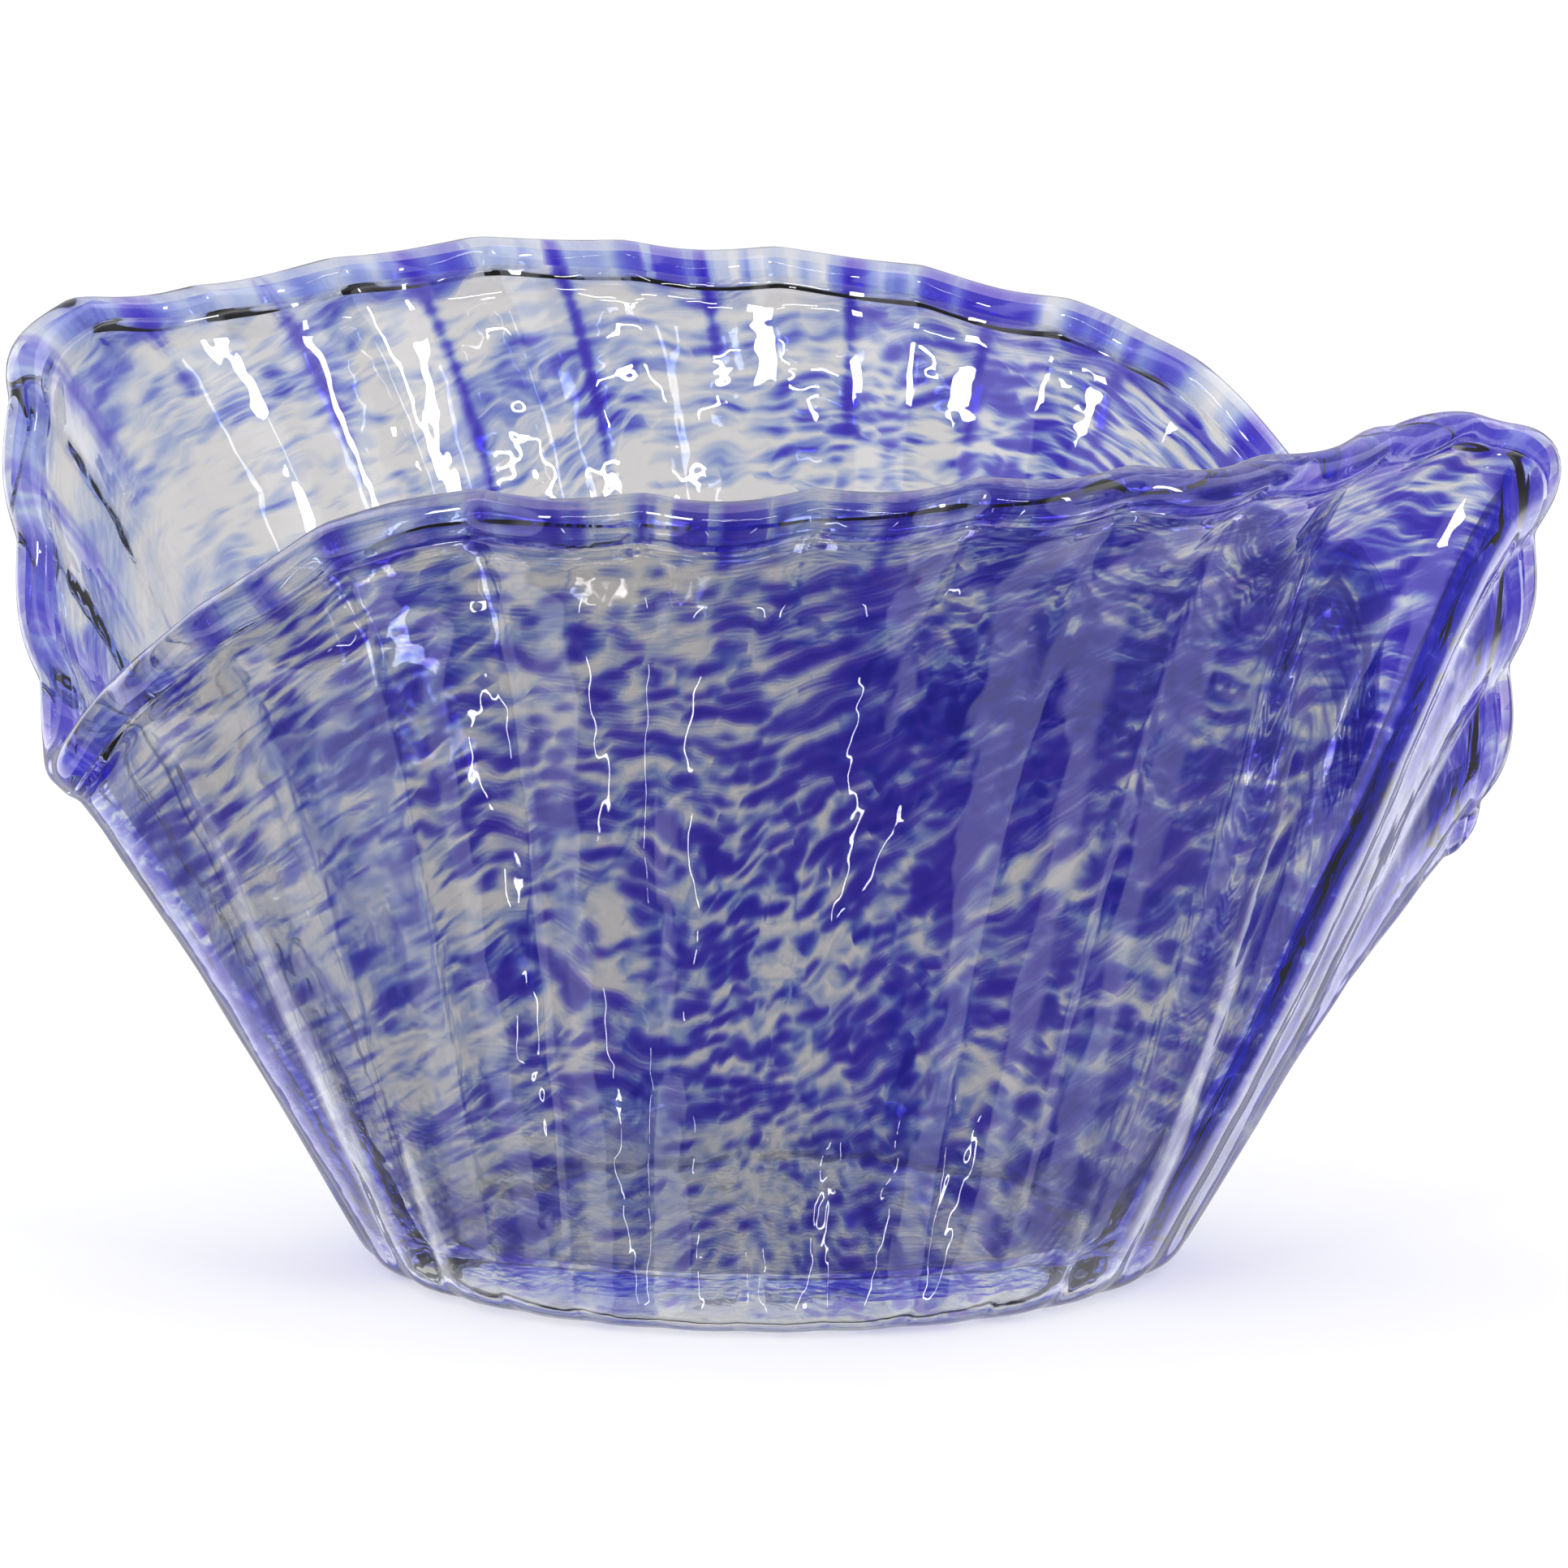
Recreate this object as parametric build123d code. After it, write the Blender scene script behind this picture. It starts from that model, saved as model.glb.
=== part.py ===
from build123d import *
import bisect
import math
import os

# Art glass bowl, blown in layers and pulled into a folded oval. Units are mm and degrees, +Z is up.
# X runs along the long way of the mouth, and the front panel faces -Y.

# ---------------------------------------------------------------- driving dimensions
RIB_COUNT = 30            # optic ribs left by the ribbed mould
RIB_PHASE = 1.4           # direction of the first groove between two ribs, at the foot
LIP_TWIST = 6.0           # how far the lip is turned against the foot
RIB_SOFTNESS = 0.02       # rounds the bottom of the grooves
RIB_MEAN = 0.65           # level of a rib's own wave that lies on the plain wall
RIB_RISE_FOOT = 1.1       # how far a rib stands out at the foot
RIB_RISE_WALL = 0.7       # added evenly on the way up
RIB_RISE_LIP = 1.6        # added in the ruffled part under the lip
RUFFLE_START = 0.7        # share of the wall's height where the ruffle begins

HEEL_RADIUS = 78.5        # where the wall, carried straight on, would meet the table
HEEL_RUN = 9.0            # reach of the rounding under the heel
WALL_START = 0.05         # share of the wall's height where the heel's rounding ends
END_LEAN = 31.0           # lean of the wall from upright at the two ends, at the foot
SIDE_LEAN = 4.0           # the same at the front and the back
END_FLARE = 42.0          # lean of the wall just under the lip at the two ends
SIDE_FLARE = 26.0         # the same at the front and the back
END_SHARPNESS = 2.5       # how quickly an end gives way to a side
FOOT_PULL = 1.0           # how long the foot's lean is kept, as a share of the wall
LIP_PULL = 0.55           # how long the lip's flare is kept
TURN_POWER = 1.3          # how late on the way up the folding sets in

CASING_THICKNESS = 2.4    # clear glass outside the colour
COLOUR_THICKNESS = 1.0    # layer of melted cobalt grains
GATHER_THICKNESS = 2.2    # clear glass inside the colour
FOOT_EXTRA = 1.5          # what the gather gains towards the foot
PAD_HEIGHT = 3.2
PAD_RADIUS = 58.0
CASING_FLOOR = 5.4        # top of the casing's floor
COLOUR_FLOOR = 6.4        # top of the colour layer's floor
BOWL_FLOOR = 9.0          # what something put in the bowl stands on
INNER_HEEL_RUN = 14.0
INNER_WALL_START = 0.08

LIP_FOLD_DEPTH = 2.2      # the front of the lip is turned out over a fold this deep
LIP_FOLD_LEVEL = 0.86     # share of the wall's height where that fold runs
LIP_FOLD_HEIGHT = 0.055   # half the fold's height, as a share of the wall's
LIP_FOLD_AT = 262         # direction of its middle
LIP_FOLD_WIDTH = 56       # how far it reaches to each side
LIP_FOLD_DIP = 0.012      # how much it wanders up and down
LIP_FOLD_WAVES = 9        # how often it would do so in one turn

# Creases down the wall: direction under the lip and halfway down, half width, all in degrees,
# and depth in mm, less than nothing where the wall bulges out beside one.
CREASES = [
    (313, 326, 5.0, 3.2),
    (325, 338, 7.0, -1.6),
    (226, 223, 5.0, 1.8),
    (236, 231, 4.5, -0.9),
]
CREASE_FOOT = 0.2         # share of the wall's height where the creases begin

LIP_BEAD_RADIUS = 4.3
COLOUR_BEAD_RADIUS = 1.7  # rounded end of the colour layer inside the lip
COLOUR_END_ROLL = 110     # how far round that end goes to each side of its crest
LIP_REACH_TO_WALL = 2.5   # the bead's reach past the top of the wall
LIP_HEIGHT_TO_WALL = 6.0  # the bead's height over the top of the wall

# The lip, going round: direction seen from above, reach from the axis, height over the table.
# Two deep dips face the ends, at 10 and 187 degrees, with high panels between them.
LIP = [
    (-20, 128, 168),
    (-13, 137, 170.5),
    (-7.5, 150, 163),
    (-3, 147, 141),
    (1, 144.5, 120),
    (5, 142.5, 97),
    (10, 139, 84),
    (18, 135, 97),
    (27, 129, 132),
    (37, 120, 159),
    (50, 113, 174.5),
    (65, 108, 181),
    (82, 109, 186.5),
    (100, 113, 188),
    (117, 121, 190.5),
    (132, 131, 187.5),
    (147, 145, 182.5),
    (157, 156, 181),
    (164, 157, 172),
    (170, 152, 150),
    (176, 146, 126),
    (183, 140, 106),
    (191, 140, 102),
    (200, 134, 117.5),
    (211, 126, 134),
    (224, 116, 151),
    (231, 111.5, 157),
    (240, 108, 158.5),
    (262, 102, 158.5),
    (283, 102, 160.5),
    (305, 106, 162.5),
    (325, 115, 163.5),
]

# ---------------------------------------------------------------- how finely the glass is drawn
POINTS_PER_RIB = 6
WALL_STEPS = 20
HEEL_STEPS = 5
BEAD_STEPS = 8
COLOUR_END_STEPS = 4
LIP_STATION_STEP = 0.5
SLOPE_STEP = 0.001

# rib_share says how much of a rib's height is left on a face
OUTER_FACE = dict(depth=0.0, rib_share=1.0, floor=0.0)
CASING_FACE = dict(depth=CASING_THICKNESS, rib_share=0.85, floor=CASING_FLOOR)
COLOUR_FACE = dict(
    depth=CASING_THICKNESS + COLOUR_THICKNESS, rib_share=0.75, floor=COLOUR_FLOOR
)
INNER_FACE = dict(
    depth=CASING_THICKNESS + COLOUR_THICKNESS + GATHER_THICKNESS,
    rib_share=0.6,
    floor=BOWL_FLOOR,
)


# ---------------------------------------------------------------- the lip's line
def lip_row(index):
    """A row of the lip table, going on past either end of it by whole turns."""
    turns, row = divmod(index, len(LIP))
    angle, reach, height = LIP[row]
    return angle + 360 * turns, reach, height


def lip_at(angle):
    """Reach and height of the lip in one direction, on a smooth curve through the table."""
    turns = math.floor((angle - LIP[0][0]) / 360)
    angle -= 360 * turns
    row = bisect.bisect_right([station[0] for station in LIP], angle) - 1
    before, start, end, after = (lip_row(row + step) for step in (-1, 0, 1, 2))
    span = end[0] - start[0]
    t = (angle - start[0]) / span
    values = []
    for column in (1, 2):
        rise_before = (start[column] - before[column]) / (start[0] - before[0])
        rise = (end[column] - start[column]) / span
        rise_after = (after[column] - end[column]) / (after[0] - end[0])
        span_before = start[0] - before[0]
        span_after = after[0] - end[0]
        slope_start = (rise_before * span + rise * span_before) / (span + span_before)
        slope_end = (rise * span_after + rise_after * span) / (span + span_after)
        values.append(
            (1 + 2 * t) * (1 - t) ** 2 * start[column]
            + t * (1 - t) ** 2 * span * slope_start
            + t * t * (3 - 2 * t) * end[column]
            + t * t * (t - 1) * span * slope_end
        )
    return values


def even_lip_stations():
    """Directions along the lip, each with its share of the lip's length in degrees."""
    angles = []
    lengths = []
    travelled = 0.0
    previous = None
    for step in range(int(360 / LIP_STATION_STEP) + 1):
        angle = LIP[0][0] + step * LIP_STATION_STEP
        reach, height = lip_at(angle)
        point = Vector(
            reach * math.cos(math.radians(angle)), reach * math.sin(math.radians(angle)), height
        )
        if previous is not None:
            travelled += (point - previous).length
        angles.append(angle)
        lengths.append(travelled)
        previous = point
    shares = [360 * length / travelled for length in lengths]
    lead = sum(angle - share for angle, share in zip(angles, shares)) / len(angles)
    return angles, [share + lead for share in shares]


STATION_ANGLES, STATION_SHARES = even_lip_stations()


def lip_angle(turn):
    """Direction of the lip at the top of the wall strip that starts at this direction of the foot."""
    turn += LIP_TWIST
    turns = math.floor((turn - STATION_SHARES[0]) / 360)
    turn -= 360 * turns
    index = min(bisect.bisect_right(STATION_SHARES, turn), len(STATION_SHARES) - 1)
    low, high = STATION_SHARES[index - 1], STATION_SHARES[index]
    angle = STATION_ANGLES[index - 1] + LIP_STATION_STEP * (turn - low) / (high - low)
    return angle + 360 * turns


# ---------------------------------------------------------------- the wall
def wall_point(turn, level):
    """A point of the outside without its ribs. level runs from 0 at the table to 1 under the lip."""
    lip = lip_angle(turn)
    reach, height = lip_at(lip)
    reach -= LIP_REACH_TO_WALL
    height -= LIP_HEIGHT_TO_WALL
    at_end = abs(math.cos(math.radians(lip))) ** END_SHARPNESS
    lean = math.radians(SIDE_LEAN + (END_LEAN - SIDE_LEAN) * at_end)
    flare = math.radians(SIDE_FLARE + (END_FLARE - SIDE_FLARE) * at_end)
    chord = math.hypot(reach - HEEL_RADIUS, height)
    from_foot = (1 + 2 * level) * (1 - level) ** 2
    from_lean = level * (1 - level) ** 2 * FOOT_PULL * chord
    from_lip = level**2 * (3 - 2 * level)
    from_flare = level**2 * (level - 1) * LIP_PULL * chord
    radius = (
        from_foot * HEEL_RADIUS
        + from_lean * math.sin(lean)
        + from_lip * reach
        + from_flare * math.sin(flare)
    )
    z = from_lean * math.cos(lean) + from_lip * height + from_flare * math.cos(flare)
    direction = math.radians(turn + (lip - turn) * level**TURN_POWER)
    return Vector(radius * math.cos(direction), radius * math.sin(direction), z)


def wall_frame(turn, level):
    """The wall's point, its outward normal and its upward direction."""
    turn_step = math.degrees(SLOPE_STEP)
    round_wall = wall_point(turn + turn_step, level) - wall_point(turn - turn_step, level)
    low = max(level - SLOPE_STEP, 0.0)
    high = min(level + SLOPE_STEP, 1.0)
    up_wall = wall_point(turn, high) - wall_point(turn, low)
    normal = round_wall.cross(up_wall).normalized()
    return wall_point(turn, level), normal, up_wall.normalized()


def rib_height(turn, level):
    """How far a rib lifts the glass off the plain wall, less than nothing in a groove."""
    wave = math.sin(math.radians((turn - RIB_PHASE) * RIB_COUNT / 2))
    lobe = math.sqrt(wave**2 + RIB_SOFTNESS) - RIB_MEAN
    ruffle = max((level - RUFFLE_START) / (1 - RUFFLE_START), 0.0) ** 2
    return (RIB_RISE_FOOT + RIB_RISE_WALL * level + RIB_RISE_LIP * ruffle) * lobe


def turned_away(turn, middle):
    """Degrees from the middle direction, at most half a turn to either side."""
    return (turn - middle + 180) % 360 - 180


def fold_depth(turn, level):
    """How far the whole wall is pushed in by the fold under the lip and by the creases."""
    in_front = math.exp(-((turned_away(turn, LIP_FOLD_AT) / LIP_FOLD_WIDTH) ** 4))
    line = LIP_FOLD_LEVEL + LIP_FOLD_DIP * math.sin(math.radians(LIP_FOLD_WAVES * turn))
    above_line = (level - line) / LIP_FOLD_HEIGHT
    depth = LIP_FOLD_DEPTH * in_front * math.exp(-(above_line**2))
    part = max(level - CREASE_FOOT, 0.0) / (1 - CREASE_FOOT)
    high = max(2 * level - 1, 0.0)
    for under_lip, halfway, width, crease_depth in CREASES:
        away = turned_away(turn, halfway + (under_lip - halfway) * high)
        depth += crease_depth * 4 * part * (1 - part) * math.exp(-((away / width) ** 2))
    return depth


def face_point(turn, level, depth, rib_share):
    """A point of one glass face, this deep under the outside."""
    point, normal, _ = wall_frame(turn, level)
    deeper = FOOT_EXTRA * (1 - level) ** 4 if depth > CASING_FACE["depth"] else 0.0
    pushed_in = depth + deeper + fold_depth(turn, level)
    return point + normal * (rib_share * rib_height(turn, level) - pushed_in)


def heel_point(turn, part, face, start, run):
    """The rounding between a face's floor (part 0) and its wall (part 1)."""
    top = face_point(turn, start, face["depth"], face["rib_share"])
    above = face_point(turn, start + SLOPE_STEP, face["depth"], face["rib_share"])
    slope = above - top
    corner = top + slope * ((face["floor"] - top.Z) / slope.Z)
    radius = math.hypot(corner.X, corner.Y)
    floor_edge = Vector(
        corner.X * (radius - run) / radius, corner.Y * (radius - run) / radius, face["floor"]
    )
    return floor_edge * (1 - part) ** 2 + corner * (2 * part * (1 - part)) + top * part**2


def lip_point(turn, roll, radius, centre_depth):
    """A point on the lip's bead. roll is 0 at its crest and grows towards the outside."""
    point, normal, up = wall_frame(turn, 1.0)
    half_wall = INNER_FACE["depth"] / 2
    over_wall = math.sqrt(LIP_BEAD_RADIUS**2 - half_wall**2)
    centre = point + normal * (rib_height(turn, 1.0) - centre_depth) + up * over_wall
    roll = math.radians(roll)
    return centre + up * (radius * math.cos(roll)) + normal * (radius * math.sin(roll))


# ---------------------------------------------------------------- rings and glass faces
def ring(point_at):
    """A closed smooth ring through one point for each direction of the foot."""
    count = RIB_COUNT * POINTS_PER_RIB
    points = [point_at(360 * number / count) for number in range(count)]
    knots = [number / count for number in range(count + 1)]
    return Wire([Edge.make_spline(points, periodic=True, parameters=knots)])


def wall_ring(face, level):
    return ring(lambda turn: face_point(turn, level, face["depth"], face["rib_share"]))


def skin(rings, ruled=False):
    return list(Shell.make_loft(rings, ruled=ruled).faces())


def glass_wall(face, start, run):
    """One glass face: its flat floor, heel and wall, and the ring that ends it at the lip."""
    heel = []
    for step in range(HEEL_STEPS + 1):
        part = step / HEEL_STEPS
        heel.append(ring(lambda turn: heel_point(turn, part, face, start, run)))
    wall = [heel[-1]]
    for step in range(1, WALL_STEPS + 1):
        wall.append(wall_ring(face, start + (1 - start) * step / WALL_STEPS))
    return [Face(heel[0])] + skin(heel) + skin(wall), wall[-1]


def closed_glass(faces, shift):
    """The solid glass inside these faces, moved to the middle of the frame."""
    return Solid(Shell(faces)).moved(shift)


def lip_bead(top_outside, top_inside):
    """The rolled skin of the lip, from the outside of the wall over to the inside."""
    half_wall = INNER_FACE["depth"] / 2
    last_roll = 180 - math.degrees(math.asin(half_wall / LIP_BEAD_RADIUS))
    rings = [top_outside]
    for step in range(1, BEAD_STEPS):
        roll = last_roll * (1 - 2 * step / BEAD_STEPS)
        rings.append(ring(lambda turn: lip_point(turn, roll, LIP_BEAD_RADIUS, half_wall)))
    rings.append(top_inside)
    return skin(rings)


def colour_end(top_outside, top_inside):
    """The rounded end of the colour layer, inside the lip."""
    middle = CASING_THICKNESS + COLOUR_THICKNESS / 2
    rings = [top_outside]
    for step in range(COLOUR_END_STEPS + 1):
        roll = COLOUR_END_ROLL * (1 - 2 * step / COLOUR_END_STEPS)
        rings.append(ring(lambda turn: lip_point(turn, roll, COLOUR_BEAD_RADIUS, middle)))
    rings.append(top_inside)
    return skin(rings)


# ---------------------------------------------------------------- the pieces
outside, outside_top = glass_wall(OUTER_FACE, WALL_START, HEEL_RUN)
under_colour, under_colour_top = glass_wall(CASING_FACE, INNER_WALL_START, INNER_HEEL_RUN)
over_colour, over_colour_top = glass_wall(COLOUR_FACE, INNER_WALL_START, INNER_HEEL_RUN)
inside, inside_top = glass_wall(INNER_FACE, INNER_WALL_START, INNER_HEEL_RUN)

casing_end = skin([outside_top, under_colour_top], ruled=True)
gather_end = skin([over_colour_top, inside_top], ruled=True)
bead = lip_bead(outside_top, inside_top)
tongue = colour_end(under_colour_top, over_colour_top)

# the foot's centre lies a little off the middle of the pulled mouth, so the frame is set from the lip
box = Solid(Shell(bead + casing_end + tongue + gather_end)).bounding_box()
shift = Location((-box.center().X, -box.center().Y, 0))

pad = Pos(0, 0, PAD_HEIGHT / 2) * Cylinder(PAD_RADIUS, PAD_HEIGHT)
pad = pad.solid().moved(shift)

pieces = {
    "outer_casing": closed_glass(outside + under_colour + casing_end, shift).cut(pad),
    "cobalt_frit_layer": closed_glass(under_colour + over_colour + tongue, shift),
    "inner_gather": closed_glass(over_colour + inside + gather_end, shift),
    "rim_lip": closed_glass(bead + casing_end + tongue + gather_end, shift),
    "base_pad": pad,
}

os.makedirs("parts", exist_ok=True)
for name, piece in pieces.items():
    export_step(piece, f"parts/{name}.step")
    size = piece.bounding_box()
    print(name, "valid", piece.is_valid, "volume", round(piece.volume), size)
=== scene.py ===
import bpy
import math
import numpy as np
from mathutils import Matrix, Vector


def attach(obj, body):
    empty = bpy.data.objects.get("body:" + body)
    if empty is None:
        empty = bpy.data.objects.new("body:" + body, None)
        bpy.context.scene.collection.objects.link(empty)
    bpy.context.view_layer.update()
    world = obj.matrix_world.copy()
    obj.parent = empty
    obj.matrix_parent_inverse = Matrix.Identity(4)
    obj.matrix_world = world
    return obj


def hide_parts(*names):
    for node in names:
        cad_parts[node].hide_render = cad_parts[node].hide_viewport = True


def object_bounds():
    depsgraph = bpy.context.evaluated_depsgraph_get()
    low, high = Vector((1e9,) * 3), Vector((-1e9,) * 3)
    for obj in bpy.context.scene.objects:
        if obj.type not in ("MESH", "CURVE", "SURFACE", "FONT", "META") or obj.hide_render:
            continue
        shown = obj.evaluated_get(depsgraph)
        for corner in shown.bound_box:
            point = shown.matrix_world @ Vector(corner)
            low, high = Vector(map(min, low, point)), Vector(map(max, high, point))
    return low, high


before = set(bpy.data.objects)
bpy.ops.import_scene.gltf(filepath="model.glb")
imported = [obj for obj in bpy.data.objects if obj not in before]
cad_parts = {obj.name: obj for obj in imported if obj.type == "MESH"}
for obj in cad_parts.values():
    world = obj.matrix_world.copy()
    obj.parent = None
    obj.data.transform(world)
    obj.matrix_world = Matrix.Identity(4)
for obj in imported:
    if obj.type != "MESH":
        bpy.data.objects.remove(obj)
CAD_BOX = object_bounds()

# Art glass bowl: ribbed, blown in three layers and pulled into a folded oval.
# The shape is worked out in mm from the same dimensions as the CAD model, then set into its box.

# ---------------------------------------------------------------- dimensions (mm, degrees)
RIB_COUNT = 30            # optic ribs left by the ribbed mould
RIB_PHASE = 1.4           # direction of the first groove between two ribs, at the foot
LIP_TWIST = 6.0           # how far the lip is turned against the foot
RIB_SOFTNESS = 0.02       # rounds the bottom of the grooves
RIB_MEAN = 0.65           # level of a rib's own wave that lies on the plain wall
RIB_RISE_FOOT = 1.1       # how far a rib stands out at the foot
RIB_RISE_WALL = 0.7       # added evenly on the way up
RIB_RISE_LIP = 1.6        # added in the ruffled part under the lip
RUFFLE_START = 0.7        # share of the wall's height where the ruffle begins

HEEL_RADIUS = 78.5        # where the wall, carried straight on, would meet the table
HEEL_RUN = 9.0            # reach of the rounding under the heel
WALL_START = 0.05         # share of the wall's height where the heel's rounding ends
END_LEAN = 31.0           # lean of the wall from upright at the two ends, at the foot
SIDE_LEAN = 4.0           # the same at the front and the back
END_FLARE = 42.0          # lean of the wall just under the lip at the two ends
SIDE_FLARE = 26.0         # the same at the front and the back
END_SHARPNESS = 2.5       # how quickly an end gives way to a side
FOOT_PULL = 1.0           # how long the foot's lean is kept, as a share of the wall
LIP_PULL = 0.55           # how long the lip's flare is kept
TURN_POWER = 1.3          # how late on the way up the folding sets in

CASING_DEPTH = 2.4        # depth of each face under the outside
COLOUR_DEPTH = 3.4
INNER_DEPTH = 5.6
FOOT_EXTRA = 1.5          # how much thicker the colour layer is at the foot
PAD_HEIGHT = 3.2
PAD_RADIUS = 58.0
CASING_FLOOR = 5.4        # heights of the flat floors over the table
COLOUR_FLOOR = 6.4
BOWL_FLOOR = 9.0
PAD_LEVEL = -0.1          # the pad's level for its colour, as it lies under the wall's start
INNER_HEEL_RUN = 14.0
INNER_WALL_START = 0.08

LIP_FOLD_DEPTH = 2.2      # the front of the lip is turned out over a fold this deep
LIP_FOLD_LEVEL = 0.86     # share of the wall's height where that fold runs
LIP_FOLD_HEIGHT = 0.055   # half the fold's height, as a share of the wall's
LIP_FOLD_AT = 262         # direction of its middle
LIP_FOLD_WIDTH = 56       # how far it reaches to each side
LIP_FOLD_DIP = 0.012      # how much it wanders up and down
LIP_FOLD_WAVES = 9        # how often it would do so in one turn
# Creases down the wall: direction under the lip and halfway down, half width, and depth in mm,
# less than nothing where the wall bulges out beside one.
CREASES = [
    (313, 326, 5.0, 3.2),
    (325, 338, 7.0, -1.6),
    (226, 223, 5.0, 1.8),
    (236, 231, 4.5, -0.9),
]
CREASE_FOOT = 0.2         # share of the wall's height where the creases begin

LIP_BEAD_RADIUS = 4.3
COLOUR_BEAD_RADIUS = 1.7
LIP_REACH_TO_WALL = 2.5   # the bead's reach past the top of the wall
LIP_HEIGHT_TO_WALL = 6.0  # the bead's height over the top of the wall

# direction seen from above, reach from the axis, height over the table
LIP = [
    (-20, 128, 168),
    (-13, 137, 170.5),
    (-7.5, 150, 163),
    (-3, 147, 141),
    (1, 144.5, 120),
    (5, 142.5, 97),
    (10, 139, 84),
    (18, 135, 97),
    (27, 129, 132),
    (37, 120, 159),
    (50, 113, 174.5),
    (65, 108, 181),
    (82, 109, 186.5),
    (100, 113, 188),
    (117, 121, 190.5),
    (132, 131, 187.5),
    (147, 145, 182.5),
    (157, 156, 181),
    (164, 157, 172),
    (170, 152, 150),
    (176, 146, 126),
    (183, 140, 106),
    (191, 140, 102),
    (200, 134, 117.5),
    (211, 126, 134),
    (224, 116, 151),
    (231, 111.5, 157),
    (240, 108, 158.5),
    (262, 102, 158.5),
    (283, 102, 160.5),
    (305, 106, 162.5),
    (325, 115, 163.5),
]

# ---------------------------------------------------------------- how finely the glass is drawn
POINTS_PER_RIB = 16
WALL_ROWS = 76
HEEL_ROWS = 8
BEAD_ROWS = 18
BEAD_HALF_ROLL = 95       # degrees from the bead's crest to where it meets the wall
COLOUR_BEAD_ROWS = 8
COLOUR_BEAD_HALF_ROLL = 115
FLOOR_ROWS = 10
SLOPE_STEP = 0.001        # step, in level and in radians, by which slopes are measured
LIP_STATION_STEP = 0.25
EXTRA_RELIEF = 0.9        # how much more some ribs stand out halfway up the outside
FLATTENING = 0.8          # how much of that is taken away again on the smooth parts
# height of the wave in mm, times round the bowl, radians from foot to lip, where it starts
WAVES = [
    (0.35, 3, 5.0, 0.4),
    (0.22, 8, -9.0, 1.7),
    (0.12, 19, 17.0, 0.3),
    (0.06, 41, -38.0, 2.2),
]
# where the ribs were marvered nearly flat: direction of the foot, how wide
SMOOTH_PARTS = [(192, 20), (270, 24), (346, 22)]
SWELL_START = 0.945       # level at which the wall starts to thicken into the lip's bead
SWELL_HEIGHT = 1.25
JOINT_GAP = 0.06          # keeps the faces of two layers from lying in one place
MM = 0.001

# how much of the ribs each face below the outside still shows
UNDER_COLOUR_RIBS = 0.85
OVER_COLOUR_RIBS = 0.75
INSIDE_RIBS = 0.6

TURNS = np.linspace(0, 360, RIB_COUNT * POINTS_PER_RIB, endpoint=False)


# ---------------------------------------------------------------- the lip's line
def lip_at(angle):
    """Reach and height of the lip in each direction, on a smooth curve through the table."""
    table = np.array(LIP, float)
    turn = np.array([360.0, 0.0, 0.0])
    table = np.concatenate([table[-1:] - turn, table, table[:2] + turn])
    angle = (np.asarray(angle, float) - LIP[0][0]) % 360 + LIP[0][0]
    span = np.diff(table[:, 0])
    rise = np.diff(table[:, 1:], axis=0) / span[:, None]
    before, after = span[:-1, None], span[1:, None]
    slope = (rise[:-1] * after + rise[1:] * before) / (before + after)
    row = np.clip(np.searchsorted(table[:, 0], angle, side="right") - 1, 1, len(LIP))
    t = ((angle - table[row, 0]) / span[row])[..., None]
    width = span[row][..., None]
    values = (
        (1 + 2 * t) * (1 - t) ** 2 * table[row, 1:]
        + t * (1 - t) ** 2 * width * slope[row - 1]
        + t * t * (3 - 2 * t) * table[row + 1, 1:]
        + t * t * (t - 1) * width * slope[row]
    )
    return values[..., 0], values[..., 1]


def even_lip_stations():
    """Directions along the lip, each with its share of the lip's length in degrees."""
    angles = np.arange(LIP[0][0], LIP[0][0] + 360 + LIP_STATION_STEP / 2, LIP_STATION_STEP)
    reach, height = lip_at(angles)
    flat = np.radians(angles)
    points = np.stack([reach * np.cos(flat), reach * np.sin(flat), height], -1)
    travelled = np.concatenate([[0], np.cumsum(np.linalg.norm(np.diff(points, axis=0), axis=1))])
    shares = 360 * travelled / travelled[-1]
    return angles, shares + np.mean(angles - shares)


STATION_ANGLES, STATION_SHARES = even_lip_stations()


def lip_angle(turn):
    """Direction of the lip at the top of the wall strip that starts at this direction of the foot."""
    turn = np.asarray(turn, float) + LIP_TWIST
    whole = np.floor((turn - STATION_SHARES[0]) / 360)
    return np.interp(turn - 360 * whole, STATION_SHARES, STATION_ANGLES) + 360 * whole


# ---------------------------------------------------------------- the wall
def wall_point(turn, level):
    """Points of the outside without its ribs. level runs from 0 at the table to 1 under the lip."""
    lip = lip_angle(turn)
    reach, height = lip_at(lip)
    reach = reach - LIP_REACH_TO_WALL
    height = height - LIP_HEIGHT_TO_WALL
    at_end = np.abs(np.cos(np.radians(lip))) ** END_SHARPNESS
    lean = np.radians(SIDE_LEAN + (END_LEAN - SIDE_LEAN) * at_end)
    flare = np.radians(SIDE_FLARE + (END_FLARE - SIDE_FLARE) * at_end)
    chord = np.hypot(reach - HEEL_RADIUS, height)
    from_foot = (1 + 2 * level) * (1 - level) ** 2
    from_lean = level * (1 - level) ** 2 * FOOT_PULL * chord
    from_lip = level**2 * (3 - 2 * level)
    from_flare = level**2 * (level - 1) * LIP_PULL * chord
    radius = (
        from_foot * HEEL_RADIUS
        + from_lean * np.sin(lean)
        + from_lip * reach
        + from_flare * np.sin(flare)
    )
    z = from_lean * np.cos(lean) + from_lip * height + from_flare * np.cos(flare)
    direction = np.radians(turn + (lip - turn) * level**TURN_POWER)
    return np.stack([radius * np.cos(direction), radius * np.sin(direction), z], -1)


def unit(vectors):
    return vectors / np.linalg.norm(vectors, axis=-1, keepdims=True)


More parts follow.
